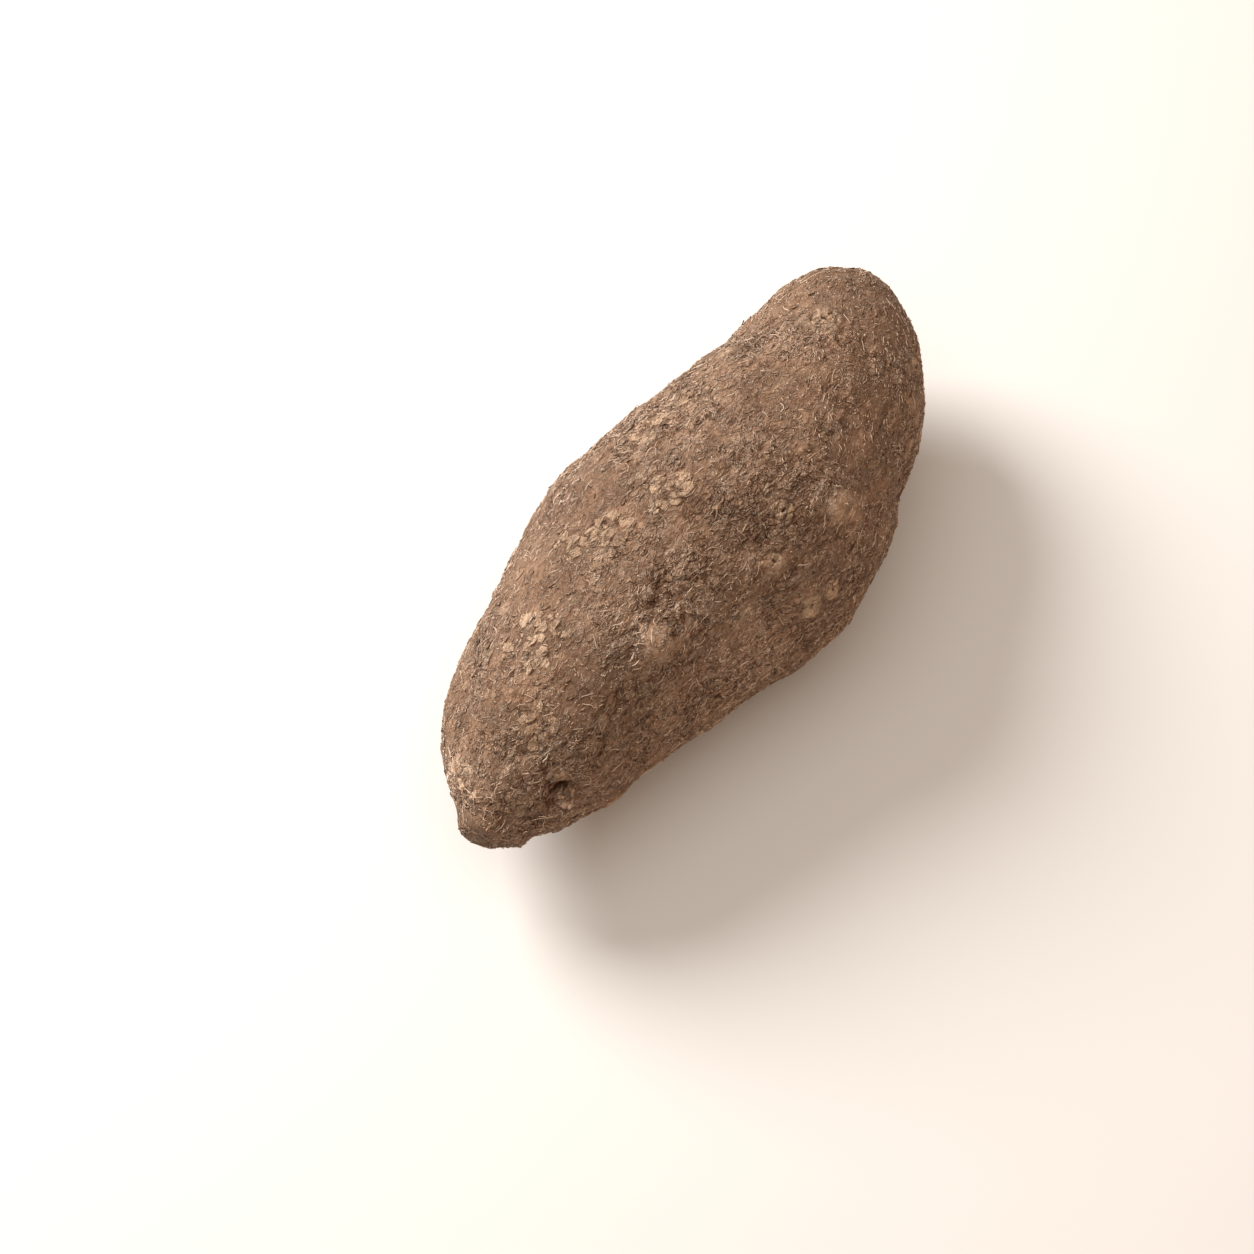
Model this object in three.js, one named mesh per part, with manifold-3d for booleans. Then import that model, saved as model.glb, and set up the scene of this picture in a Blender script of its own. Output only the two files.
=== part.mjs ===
// A whole yam tuber as it comes out of the ground: one grown solid, lying on its belly.
// It has a corky stem scar at one end, a blunt growing tip at the other, and root eyes, bosses and a broken root
// between them.
//
// Units are millimetres and +Z is up. X runs along the tuber, from the stem scar (-X) to the growing tip (+X).
// The origin is on the surface that the tuber lies on, under the middle of its length and breadth.

import * as THREE from "three";
import { mergeVertices } from "three/addons/utils/BufferGeometryUtils.js";
import Module from "manifold-3d";

const wasm = await Module();
wasm.setup();

// ---- The grown body ----------------------------------------------------------------------------------------

const stemEnd = -105.5;
const tipEnd = 106.5;
const middle = (stemEnd + tipEnd) / 2;
const halfLength = (tipEnd - stemEnd) / 2;

// Each list is spread evenly over share = 0 to 1, from the stem end to the tip, where
// x = middle - halfLength * cos(PI * share). The half breadth and half depth are faded in and out by
// sin(PI * share), so constant values would give an ellipsoid and the ends are always round.
const halfBreadth = [44, 36, 37.5, 39.5, 38, 40.5, 45.5, 43.5, 40.5, 43, 42, 36.5, 34];
const halfDepth = [46, 34, 34, 35.5, 37, 38.5, 40, 40.5, 39, 38, 38, 38, 38];
const spineSide = [0.5, 5, 7, 7, 7.2, 5.2, 0.9, -2.6, -1.6, 0.9, 5, 5, 3];
const spineHeight = [33, 34.5, 36, 37.2, 37.6, 37.7, 38.9, 39.3, 39, 39.5, 40.5, 41.5, 42];

// How many rings of vertices lie along the body, and how many vertices each ring has.
const ringCount = 66;
const ringVertices = 50;

// Swells and hollows. along is the place on X and turn the angle round the spine in degrees, from the left side
// +Y (0) over the top (90) to the right side -Y (180). reach is how far it spreads and rise how high it stands.
const swells = [
  { along: 51, turn: 24, reach: 5, rise: 0.9 }, // knob on the left shoulder
  { along: 42, turn: 20, reach: 6, rise: -0.7 }, // dip in front of it
  { along: 77, turn: 18, reach: 8, rise: -1.6 }, // waist behind it
  { along: 21, turn: 62, reach: 22, rise: 1.4 }, // long swell in front of it
  { along: 65, turn: 176, reach: 9, rise: 0.6 }, // right shoulder
  { along: 52, turn: 176, reach: 6, rise: -2.6 }, // notch in the right flank
  { along: 24, turn: 133, reach: 6, rise: 1.1 }, // smooth boss
  { along: -40, turn: 122, reach: 5, rise: 1.4 }, // smooth boss nearer the stem end
  { along: -63, turn: 84, reach: 20, rise: 1.2 }, // flat swell above the stem end
  { along: -15, turn: 100, reach: 16, rise: -1.0 }, // shallow hollow on top
  { along: -94, turn: 205, reach: 9, rise: 0.9 }, // fullness beside the stem scar
  { along: -104, turn: 285, reach: 7, rise: 2.3 }, // fullness under the stem scar
  { along: -101, turn: 8, reach: 6, rise: -1.1 }, // dent on the left of the stem scar
  { along: -88, turn: 357, reach: 8, rise: 0.8 }, // left shoulder of the stem end
  { along: -76, turn: 205, reach: 7, rise: 0.9 }, // fullness low on the right, near the stem end
  { along: 83, turn: 25, reach: 11, rise: 1.0 }, // left side of the tip
  { along: 102, turn: 65, reach: 9, rise: 0.8 }, // top of the tip
  { along: 91, turn: 172, reach: 9, rise: 0.8 }, // right side of the tip
  { along: -31, turn: 205, reach: 18, rise: 1.6 }, // swell low on the right
  { along: 59, turn: 230, reach: 16, rise: -1.6 }, // hollow under the tip
  { along: 11, turn: 330, reach: 20, rise: 0.9 }, // swell low on the left
  { along: -67, turn: 320, reach: 15, rise: -1.8 }, // hollow low behind the stem end
  { along: -49, turn: 345, reach: 9, rise: 1.4 }, // knob low on the left
];

// Slow waves through space that keep the skin from being even. run is a wave's radians per millimetre on each
// axis, start its phase and height how far it moves the skin.
const waves = [
  { run: [0.13, 0.05, -0.09], start: 0.4, height: 0.3 },
  { run: [-0.07, 0.17, 0.06], start: 2.1, height: 0.3 },
  { run: [0.09, -0.11, 0.19], start: 4.4, height: 0.25 },
  { run: [0.24, 0.12, 0.08], start: 1.3, height: 0.22 },
  { run: [-0.19, 0.21, -0.16], start: 5.2, height: 0.2 },
  { run: [0.31, -0.26, 0.12], start: 3.0, height: 0.15 },
];

// ---- What grows on it --------------------------------------------------------------------------------------

// Root eyes: a low scabby mound with a pit where a feeder root broke off. across is the mound's width.
const eyes = [
  { along: 73.5, turn: 80, across: 11, rise: 0.9 },
  { along: 10, turn: 116, across: 8.5, rise: 0.7 },
  { along: -2.5, turn: 127, across: 8, rise: 0.6 },
  { along: -2.5, turn: 153, across: 10, rise: 0.8 },
  { along: 6, turn: 155, across: 8, rise: 0.6 },
  { along: 49, turn: 44, across: 8, rise: 0.7 },
  { along: -59, turn: 28, across: 8, rise: 0.7 },
  { along: 37, turn: 5, across: 9, rise: 0.8 },
  { along: 83, turn: 150, across: 8, rise: 0.7 },
  { along: -21, turn: 12, across: 10, rise: 0.9 },
  { along: -73, turn: 195, across: 8.5, rise: 0.7 },
  { along: -31, turn: 218, across: 10, rise: 0.9 },
  { along: 27, turn: 205, across: 9, rise: 0.8 },
  { along: 69, turn: 212, across: 8, rise: 0.7 },
  { along: -53, turn: 300, across: 9, rise: 0.8 },
  { along: 55, turn: 322, across: 9.5, rise: 0.8 },
  { along: -89, turn: 345, across: 8, rise: 0.7 },
  { along: 93, turn: 265, across: 8.5, rise: 0.7 },
];
const moundSides = 13;
const moundDepth = 2.5; // how far a mound's foot reaches into the body
const pitAcross = 1.8;
const pitDepth = 1.2;

// Scabs: thin flaky plates of raised bark.
const scabs = [
  { along: -4, turn: 80, across: 9, rise: 0.6 },
  { along: 13, turn: 54, across: 11, rise: 0.5 },
  { along: -22, turn: 73, across: 9, rise: 0.5 },
  { along: -29, turn: 60, across: 11, rise: 0.6 },
  { along: -58, turn: 75, across: 12, rise: 0.5 },
  { along: 29, turn: 51, across: 8, rise: 0.5 },
  { along: -78, turn: 100, across: 9, rise: 0.5 },
  { along: 40, turn: 250, across: 11, rise: 0.5 },
  { along: -14, turn: 245, across: 12, rise: 0.5 },
  { along: -40, turn: 265, across: 10, rise: 0.5 },
  { along: 72, turn: 300, across: 11, rise: 0.5 },
];
const scabSides = 11;

// A broken root in a dimple, near the stem end.
const rootStub = { along: -86, turn: 146, across: 5, rise: 0.4, dimpleAcross: 9.5, dimpleDepth: 2.2 };

// The stem scar, where the vine was: a raised rim round a shallow dish with a dimple in it. lower is how far
// below the spine's end its middle is.
const stemScar = {
  lower: 1,
  rimAcross: 18,
  rimBroad: 2.4,
  rimRise: 1.3,
  dishAcross: 11,
  dishDepth: 0.9,
  dimpleAcross: 4.4,
  dimpleDepth: 1.5,
};

// ---- The body's surface ------------------------------------------------------------------------------------

/** A smooth curve through evenly spread values. */
function curveThrough(values) {
  const spline = new THREE.SplineCurve(values.map((value, i) => new THREE.Vector2(i, value)));
  return (share) => spline.getPoint(share).y;
}

const breadthAt = curveThrough(halfBreadth);
const depthAt = curveThrough(halfDepth);
const sideAt = curveThrough(spineSide);
const heightAt = curveThrough(spineHeight);

/** The share of the way from the stem end to the tip at a place on X. */
const shareAt = (along) => Math.acos((middle - along) / halfLength) / Math.PI;

/** A point on the body before swells and waves. angle is in radians. */
function smoothPoint(share, angle) {
  const fade = Math.sin(Math.PI * share);
  return new THREE.Vector3(
    middle - halfLength * Math.cos(Math.PI * share),
    sideAt(share) + fade * breadthAt(share) * Math.cos(angle),
    heightAt(share) + fade * depthAt(share) * Math.sin(angle),
  );
}

/** The outward direction of a surface, from two short steps along it. */
function outwardAt(surface, share, angle) {
  const step = 1e-3;
  const inner = THREE.MathUtils.clamp(share, 0.01, 0.99);
  const lengthwise = surface(inner + step, angle).sub(surface(inner - step, angle));
  const around = surface(inner, angle + step).sub(surface(inner, angle - step));
  return around.cross(lengthwise).normalize();
}

const swellPlaces = swells.map(({ along, turn, reach, rise }) => ({
  at: smoothPoint(shareAt(along), THREE.MathUtils.degToRad(turn)),
  reach,
  rise,
}));

const scarMiddle = smoothPoint(0, 0).setZ(spineHeight[0] - stemScar.lower);

/** How far the stem scar pushes the skin out: its rim, less its dish and dimple. */
function scarPush(point) {
  const away = point.distanceTo(scarMiddle);
  const { rimAcross, rimBroad, rimRise, dishAcross, dishDepth, dimpleAcross, dimpleDepth } = stemScar;
  const rim = rimRise * Math.exp(-(((away - rimAcross / 2) / rimBroad) ** 2));
  const dish = dishDepth * Math.exp(-((away / (dishAcross / 2)) ** 4));
  const dimple = dimpleDepth * Math.exp(-((away / (dimpleAcross / 2)) ** 2));
  return rim - dish - dimple;
}

/** How far swells, waves and the stem scar push the skin out at a point of the smooth body. */
function pushAt(point) {
  let push = scarPush(point);
  for (const { at, reach, rise } of swellPlaces) {
    push += rise * Math.exp(-point.distanceToSquared(at) / (reach * reach));
  }
  for (const { run, start, height } of waves) {
    push += height * Math.sin(run[0] * point.x + run[1] * point.y + run[2] * point.z + start);
  }
  return push;
}

/** A point on the grown skin. */
function skinPoint(share, angle) {
  const point = smoothPoint(share, angle);
  return point.addScaledVector(outwardAt(smoothPoint, share, angle), pushAt(point));
}

/** The grown skin as a closed grid: rings of vertices along the body, and one vertex at each end. */
function bodyGeometry() {
  const pole = (share, outward) => {
    const point = smoothPoint(share, 0);
    point.x += outward * pushAt(point);
    return point;
  };
  const positions = [...pole(0, -1)];
  for (let ring = 1; ring <= ringCount; ring++) {
    const start = (ring % 2) / 2; // every other ring is turned by half a step
    for (let i = 0; i < ringVertices; i++) {
      const angle = ((i + start) / ringVertices) * 2 * Math.PI;
      positions.push(...skinPoint(ring / (ringCount + 1), angle));
    }
  }
  positions.push(...pole(1, 1));

  const faces = [];
  const tip = positions.length / 3 - 1;
  const vertex = (ring, i) => 1 + (ring - 1) * ringVertices + (i % ringVertices);
  for (let i = 0; i < ringVertices; i++) {
    faces.push(0, vertex(1, i + 1), vertex(1, i));
    faces.push(tip, vertex(ringCount, i), vertex(ringCount, i + 1));
    for (let ring = 1; ring < ringCount; ring++) {
      const [a, b] = [vertex(ring, i), vertex(ring, i + 1)];
      const [c, d] = [vertex(ring + 1, i), vertex(ring + 1, i + 1)];
      if (ring % 2) faces.push(a, b, d, a, d, c);
      else faces.push(a, b, c, b, d, c);
    }
  }
  return new THREE.BufferGeometry()
    .setAttribute("position", new THREE.Float32BufferAttribute(positions, 3))
    .setIndex(faces);
}

// ---- Pieces joined to it -----------------------------------------------------------------------------------

/** A closed three.js geometry as a solid. */
function solidOf(geometry) {
  const merged = mergeVertices(geometry.clone().deleteAttribute("normal").deleteAttribute("uv"), 1e-4);
  return new wasm.Manifold(
    new wasm.Mesh({
      numProp: 3,
      vertProperties: merged.attributes.position.array,
      triVerts: new Uint32Array(merged.index.array),
    }),
  );
}

/** A solid as a three.js geometry. */
function geometryOf(solid) {
  const mesh = solid.getMesh();
  const geometry = new THREE.BufferGeometry()
    .setAttribute("position", new THREE.BufferAttribute(mesh.vertProperties, 3))
    .setIndex(new THREE.BufferAttribute(mesh.triVerts, 1));
  geometry.computeVertexNormals();
  return geometry;
}

/** A turned piece. The profile lists [radius, height] from foot to top, and is on the axis at both ends. */
function turned(profile, sides) {
  const points = profile.map(([radius, height]) => new THREE.Vector2(radius, height));
  return new THREE.LatheGeometry(points, sides);
}

/** Makes a turned piece's outline uneven: each direction from the axis gets its own radius. */
function uneven(geometry, amount, start) {
  const position = geometry.attributes.position;
  for (let i = 0; i < position.count; i++) {
    const [x, z] = [position.getX(i), position.getZ(i)];
    const angle = Math.atan2(z, x);
    const scale = 1 + amount * (Math.sin(2 * angle + start) + 0.6 * Math.sin(3 * angle + 2 * start));
    position.setX(i, x * scale);
    position.setZ(i, z * scale);
  }
  return geometry;
}

/** Stands a turned piece on a point, with its axis along a direction. */
function stand(geometry, point, direction) {
  const turn = new THREE.Quaternion().setFromUnitVectors(new THREE.Vector3(0, 1, 0), direction);
  return solidOf(geometry.applyQuaternion(turn).translate(...point));
}

/** Stands a turned piece on the skin, upright to it. */
function standOnSkin(geometry, { along, turn }) {
  const [share, angle] = [shareAt(along), THREE.MathUtils.degToRad(turn)];
  return stand(geometry, skinPoint(share, angle), outwardAt(skinPoint, share, angle));
}

/** A low mound that sinks a little towards its middle. */
function mound({ across, rise, along }) {
  const r = across / 2;
  const profile = [
    [0, -moundDepth],
    [r, -moundDepth],
    [r * 1.05, -0.7],
    [r * 0.82, rise * 0.55],
    [r * 0.5, rise],
    [0, rise * 0.7],
  ];
  return uneven(turned(profile, moundSides), 0.1, along);
}

/** The pit in a mound's middle. */
function pit({ rise, along }) {
  const r = pitAcross / 2;
  const profile = [
    [0, -pitDepth],
    [r * 0.6, -pitDepth],
    [r, rise * 0.6],
    [r * 1.6, rise + 0.8],
    [0, rise + 0.8],
  ];
  return uneven(turned(profile, 7), 0.1, along);
}

/** The bowl that a broken root stands in. */
function dimple({ dimpleAcross, dimpleDepth, along }) {
  const r = dimpleAcross / 2;
  const profile = [
    [0, -dimpleDepth],
    [r * 0.6, -dimpleDepth],
    [r, 0.3],
    [r * 1.3, 2],
    [0, 2],
  ];
  return uneven(turned(profile, 16), 0.07, along);
}

/** What is left of a broken root. */
function stub({ across, rise, dimpleDepth, along }) {
  const r = across / 2;
  const profile = [
    [0, -dimpleDepth - 2],
    [r, -dimpleDepth - 2],
    [r, -0.4],
    [r * 0.75, rise],
    [0, rise * 0.8],
  ];
  return uneven(turned(profile, 12), 0.08, along);
}

/** A flaky plate with a steep edge. */
function scab({ across, rise, along }) {
  const r = across / 2;
  const profile = [
    [0, -moundDepth],
    [r, -moundDepth],
    [r * 1.03, -0.4],
    [r * 0.92, rise],
    [0, rise * 0.8],
  ];
  return uneven(turned(profile, scabSides), 0.2, along);
}

function buildTuber() {
  let tuber = solidOf(bodyGeometry());
  for (const eye of eyes) {
    tuber = tuber.add(standOnSkin(mound(eye), eye));
    tuber = tuber.subtract(standOnSkin(pit(eye), eye));
  }
  for (const place of scabs) {
    tuber = tuber.add(standOnSkin(scab(place), place));
  }
  tuber = tuber.subtract(standOnSkin(dimple(rootStub), rootStub));
  tuber = tuber.add(standOnSkin(stub(rootStub), rootStub));

  // The belly is worn flat where it lies, and that flat is at z = 0.
  const ground = new THREE.BoxGeometry(3 * halfLength, 3 * halfLength, halfLength);
  return tuber.subtract(solidOf(ground.translate(0, 0, -halfLength / 2)));
}

const bark = new THREE.MeshStandardMaterial({ color: 0x7d6450, roughness: 0.92, metalness: 0 });
const tuber = new THREE.Mesh(geometryOf(buildTuber()), bark);
tuber.name = "tuber";

const part = new THREE.Group();
part.add(tuber);

export default part;
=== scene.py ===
from math import cos, pi, radians, sin

import bpy
import numpy as np
from mathutils import Matrix, Vector


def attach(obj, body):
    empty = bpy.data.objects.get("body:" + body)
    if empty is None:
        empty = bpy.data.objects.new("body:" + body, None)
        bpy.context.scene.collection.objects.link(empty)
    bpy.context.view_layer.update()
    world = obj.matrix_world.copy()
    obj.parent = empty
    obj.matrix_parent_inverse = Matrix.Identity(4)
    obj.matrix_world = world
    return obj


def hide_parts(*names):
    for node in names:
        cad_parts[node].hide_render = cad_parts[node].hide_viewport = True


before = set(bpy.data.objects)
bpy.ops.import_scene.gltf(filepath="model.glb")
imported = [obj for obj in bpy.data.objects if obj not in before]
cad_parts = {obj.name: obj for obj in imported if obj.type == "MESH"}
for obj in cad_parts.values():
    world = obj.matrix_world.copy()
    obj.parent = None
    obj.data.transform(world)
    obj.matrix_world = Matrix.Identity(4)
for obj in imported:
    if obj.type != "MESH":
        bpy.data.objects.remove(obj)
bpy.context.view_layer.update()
print("frame loaded")

mm = 0.001              # lengths are in millimetres where no note says metres, and become metres in a mesh

body = {
    "stemEnd": -105.5,
    "tipEnd": 106.5,
    # evenly spread from the stem end to the tip
    "halfBreadth": [44, 36, 37.5, 39.5, 38, 40.5, 45.5, 43.5, 40.5, 43, 42, 36.5, 34],
    "halfDepth": [46, 34, 34, 35.5, 37, 38.5, 40, 40.5, 39, 38, 38, 38, 38],
    "spineSide": [0.5, 5, 7, 7, 7.2, 5.2, 0.9, -2.6, -1.6, 0.9, 5, 5, 3],
    "spineHeight": [33, 34.5, 36, 37.2, 37.6, 37.7, 38.9, 39.3, 39, 39.5, 40.5, 41.5, 42],
    # swells and hollows: along, turn round the spine in degrees from +Y over the top, reach, rise
    "swells": [
        (51, 24, 5, 0.9), (42, 20, 6, -0.7), (77, 18, 8, -1.6), (21, 62, 22, 1.4), (65, 176, 9, 0.6),
        (52, 176, 6, -2.6), (24, 133, 6, 1.1), (-40, 122, 5, 1.4), (-63, 84, 20, 1.2), (-15, 100, 16, -1.0),
        (-94, 205, 9, 0.9), (-104, 285, 7, 2.3), (-101, 8, 6, -1.1), (-88, 357, 8, 0.8), (-76, 205, 7, 0.9),
        (83, 25, 11, 1.0), (102, 65, 9, 0.8), (91, 172, 9, 0.8), (-31, 205, 18, 1.6), (59, 230, 16, -1.6),
        (11, 330, 20, 0.9), (-67, 320, 15, -1.8), (-49, 345, 9, 1.4),
    ],
    # slow waves: radians per millimetre on x, y and z, start, height
    "waves": [
        (0.13, 0.05, -0.09, 0.4, 0.3), (-0.07, 0.17, 0.06, 2.1, 0.3), (0.09, -0.11, 0.19, 4.4, 0.25),
        (0.24, 0.12, 0.08, 1.3, 0.22), (-0.19, 0.21, -0.16, 5.2, 0.2), (0.31, -0.26, 0.12, 3.0, 0.15),
    ],
}

scar = {"lower": 1, "rimAcross": 18, "rimBroad": 2.4, "rimRise": 1.3, "dishAcross": 11, "dishDepth": 0.9,
        "dimpleAcross": 4.4, "dimpleDepth": 1.5}

# root eyes: along, turn, across, rise, size of the pit
eyes = [
    (73.5, 80, 11, 0.9, 1.2), (10, 116, 8.5, 0.7, 0.6), (-2.5, 127, 8, 0.6, 0.5), (-2.5, 153, 10, 0.8, 0.3),
    (6, 155, 8, 0.6, 0.4), (49, 44, 8, 0.7, 0.6), (-59, 28, 8, 0.7, 0.8), (37, 5, 9, 0.8, 1),
    (83, 150, 8, 0.7, 0.5), (-21, 12, 10, 0.9, 1.2), (-73, 195, 8.5, 0.7, 0.6), (-31, 218, 10, 0.9, 1),
    (27, 205, 9, 0.8, 0.7), (69, 212, 8, 0.7, 0.9), (-53, 300, 9, 0.8, 0.6), (55, 322, 9.5, 0.8, 1.1),
    (-89, 345, 8, 0.7, 0.6), (93, 265, 8.5, 0.7, 0.8),
]
# scabs of raised bark: along, turn, across, rise
scabs = [
    (-4, 80, 9, 0.6), (13, 54, 11, 0.5), (-22, 73, 9, 0.5), (-29, 60, 11, 0.6), (-58, 75, 12, 0.5),
    (29, 51, 8, 0.5), (-78, 100, 9, 0.5), (40, 250, 11, 0.5), (-14, 245, 12, 0.5), (-40, 265, 10, 0.5),
    (72, 300, 11, 0.5), (-98, 58, 9, 0.5),
]
# low pale knobs where a root never broke through: along, turn, across, rise
knobs = [
    (24, 133, 13, 0.35), (-40, 122, 14, 0.35), (58, 262, 12, 0.35), (-62, 232, 14, 0.35), (-6, 300, 15, 0.35),
    (-48, 350, 12, 0.35),
]
# where a root broke off and left a stub in a bowl
rootHole = {
    "along": -86, "turn": 146, "bowlAcross": 8.0, "bowlDepth": 2.0,
    "stubAcross": 6.4, "stubRise": 0.4, "stubSlope": 0.25, "stubAside": (0.2, 1.5),
    "lipRise": 0.35, "lipBroad": 0.6, "crumbs": (1.5, 0.5), "smallCrumbs": (0.8, 0.6),
    "reach": 6.6, "tuckedFrom": 5.6, "tucked": 0.8, "rings": 40, "around": 72,
}


# a smooth curve through evenly spread values: value = 0.5 (2b + (c-a)f + (2a-5b+4c-d)f2 + (3b-a-3c+d)f3)
def through(values, share):
    v = np.asarray(values, float)
    place = np.clip(share, 0, 1) * (len(v) - 1)
    i = np.minimum(np.floor(place).astype(int), len(v) - 2)
    f = place - i
    a, b, c, d = v[np.maximum(i - 1, 0)], v[i], v[i + 1], v[np.minimum(i + 2, len(v) - 1)]
    return 0.5 * (2 * b + (c - a) * f + (2 * a - 5 * b + 4 * c - d) * f**2 + (3 * b - a - 3 * c + d) * f**3)


middle = (body["stemEnd"] + body["tipEnd"]) / 2
halfLength = (body["tipEnd"] - body["stemEnd"]) / 2


def shareAt(along):
    return np.arccos((middle - np.asarray(along, float)) / halfLength) / pi


# x = middle - halfLength cos(pi share); y and z are the spine plus sin(pi share) times an ellipse in turn
def smoothBody(share, turn):
    fade = np.sin(pi * share)
    x = middle - halfLength * np.cos(pi * share) + 0 * turn
    y = through(body["spineSide"], share) + fade * through(body["halfBreadth"], share) * np.cos(turn)
    z = through(body["spineHeight"], share) + fade * through(body["halfDepth"], share) * np.sin(turn)
    return np.stack([x, y, z], -1)


def length(vectors):
    return np.sqrt((vectors**2).sum(-1))


def unit(vectors):
    return vectors / (length(vectors)[..., None] + 1e-12)


# the two slopes of the smooth body, by short steps: millimetres per unit of share, and per radian of turn
def slopes(share, turn):
    step = 1e-3
    inner = np.clip(share, 0.01, 0.99)
    lengthwise = (smoothBody(inner + step, turn) - smoothBody(inner - step, turn)) / (2 * step)
    around = (smoothBody(inner, turn + step) - smoothBody(inner, turn - step)) / (2 * step)
    return lengthwise, around


def smoothStep(low, high, value):
    t = np.clip((value - low) / (high - low), 0, 1)
    return t * t * (3 - 2 * t)


# push = sum of rise exp(-distance2 / reach2) + sum of height sin(run . point + start)
# + the scar's rim - its dish - its dimple
def grownPush(points):
    push = np.zeros(points.shape[:-1])
    for along, turn, reach, rise in body["swells"]:
        centre = smoothBody(shareAt(along), np.array(radians(turn)))
        push += rise * np.exp(-((points - centre) ** 2).sum(-1) / reach**2)
    for runX, runY, runZ, start, height in body["waves"]:
        push += height * np.sin(points @ np.array([runX, runY, runZ]) + start)
    away = length(points - scarMiddle)
    push += scar["rimRise"] * np.exp(-(((away - scar["rimAcross"] / 2) / scar["rimBroad"]) ** 2))
    push -= scar["dishDepth"] * np.exp(-((away / (scar["dishAcross"] / 2)) ** 4))
    push -= scar["dimpleDepth"] * np.exp(-((away / (scar["dimpleAcross"] / 2)) ** 2))
    return push


scarMiddle = smoothBody(np.array(0.0), np.array(0.0))
scarMiddle[2] = body["spineHeight"][0] - scar["lower"]


# the grown skin without its bark: smooth body + outward * push. Returns points and outward directions
def grownSkin(share, turn):
    point = smoothBody(share, turn)
    lengthwise, around = slopes(share, turn)
    outward = unit(np.cross(around, lengthwise))
    return point + outward * grownPush(point)[..., None], outward


# a place some millimetres forward along the tuber and sideways round it from (share, turn)
def stepOnSkin(share, turn, forward, sideways):
    lengthwise, around = slopes(share, turn)
    return share + forward / length(lengthwise), turn + sideways / np.maximum(length(around), 4)


latticeCells = {"hills": 40, "flakes": 64}       # cells along a side before a noise repeats


# noise from random slopes on a cubic lattice, blended by 6f5 - 15f4 + 10f3; about -0.7 to 0.7
def hillNoise(points, size, seed):
    cells = latticeCells["hills"]
    slopesTable = unit(np.random.default_rng(seed).normal(size=(cells, cells, cells, 3)))
    q = points / size
    base = np.floor(q).astype(int)
    f = q - base
    w = f**3 * (f * (f * 6 - 15) + 10)
    total = np.zeros(points.shape[:-1])
    for cx in (0, 1):
        for cy in (0, 1):
            for cz in (0, 1):
                corner = np.array([cx, cy, cz])
                i = (base + corner) % cells
                slope = slopesTable[i[..., 0], i[..., 1], i[..., 2]]
                weight = np.prod(np.where(corner == 1, w, 1 - w), -1)
                total += weight * (slope * (f - corner)).sum(-1)
    return total


# flakes: each place belongs to the nearest of the random middles, one in each cell of a lattice, and its
# height is the flake's own slope . (place - middle). Also gives how much farther the next middle is
def flakeNoise(points, size, seed):
    cells = latticeCells["flakes"]
    rng = np.random.default_rng(seed)
    middles = rng.random((cells, cells, cells, 3))
    flakeSlopes = rng.normal(size=(cells, cells, cells, 3))
    q = points / size
    base = np.floor(q).astype(int)
    nearest = np.full(q.shape[:-1], 9.0)
    second = np.full(q.shape[:-1], 9.0)
    height = np.zeros(q.shape[:-1])
    for step in np.ndindex(3, 3, 3):
        cell = base + np.array(step) - 1
        x, y, z = np.moveaxis(cell % cells, -1, 0)
        away = q - cell - middles[x, y, z]
        distance = length(away)
        closer = distance < nearest
        second = np.where(closer, nearest, np.minimum(second, distance))
        height = np.where(closer, (away * flakeSlopes[x, y, z]).sum(-1), height)
        nearest = np.where(closer, distance, nearest)
    return height, second - nearest


bark = {
    # size and height in millimetres
    "lumps": (14, 0.36), "smallLumps": (6.5, 0.3),
    "ridges": (3.8, 0.15), "grain": (1.4, 0.07),
    "flakes": (5.0, 0.34), "smallFlakes": (2.4, 0.2),
    "bareFlakes": 0.35,                         # how high the flakes stand on smooth bark
    "gaps": (0.14, 0.15),                       # between flakes: width as a share of a flake, depth
    "stretch": 0.7,                             # less than 1 draws them out along the tuber
    "wander": (2.6, 0.9),                       # size and reach of the wandering of the flakes' edges
    "lowered": 0.15,
    # fades run from full to nothing, in a scab's or knob's radii
    "scabUneven": 0.5, "scabFade": (0.7, 1.05), "scabPale": 0.3,
    "knobUneven": 0.35, "knobFade": (0.55, 1.05), "knobEven": 0.35, "knobSmooth": 0.6, "knobPale": 0.45,
    "knobGroove": (0.12, 0.25),                 # round a knob: width in its radii, depth
    "roughZone": (17, 4),                       # size of the rough and the smooth zones, seed
    "roughRange": (-0.35, 0.45),
    # places that are rougher, or smoother where the last value is below 0: along, turn, reach, amount
    "zones": [
        (-29, 110, 14, 0.4), (-45, 134, 10, 0.25), (-26, 172, 15, 0.4), (4, 120, 14, 0.2),
        (56, 160, 12, 0.3), (23, 46, 12, 0.3), (-92, 130, 12, 0.35), (72, 80, 9, 0.3),
        (-60, 160, 13, 0.3), (9, 92, 10, 0.15), (92, 90, 15, -0.4), (80, 130, 13, -0.3),
        (-10, 58, 11, -0.35), (-50, 60, 17, -0.35), (-80, 55, 15, -0.2), (44, 88, 12, -0.25),
        (-66, 110, 10, -0.2), (30, 100, 8, -0.2), (4, 168, 14, 0.3), (30, 158, 12, 0.25),
        (-78, 165, 14, 0.3), (76, 150, 12, 0.2), (-55, 142, 12, 0.3), (-20, 150, 12, 0.2),
        (-88, 110, 14, 0.1), (-95, 75, 10, 0.15), (48, 62, 9, 0.2), (-38, 88, 8, 0.15),
        (15, 40, 10, 0.2),
    ],
}


# sum of amount exp(-distance2 / reach2) over a list of along, turn, reach, amount
def spots(points, places):
    total = np.zeros(points.shape[:-1])
    for along, turn, reach, amount in places:
        centre, _ = grownSkin(shareAt(along), np.array(radians(turn)))
        total += amount * np.exp(-((points - centre) ** 2).sum(-1) / reach**2)
    return total


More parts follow.
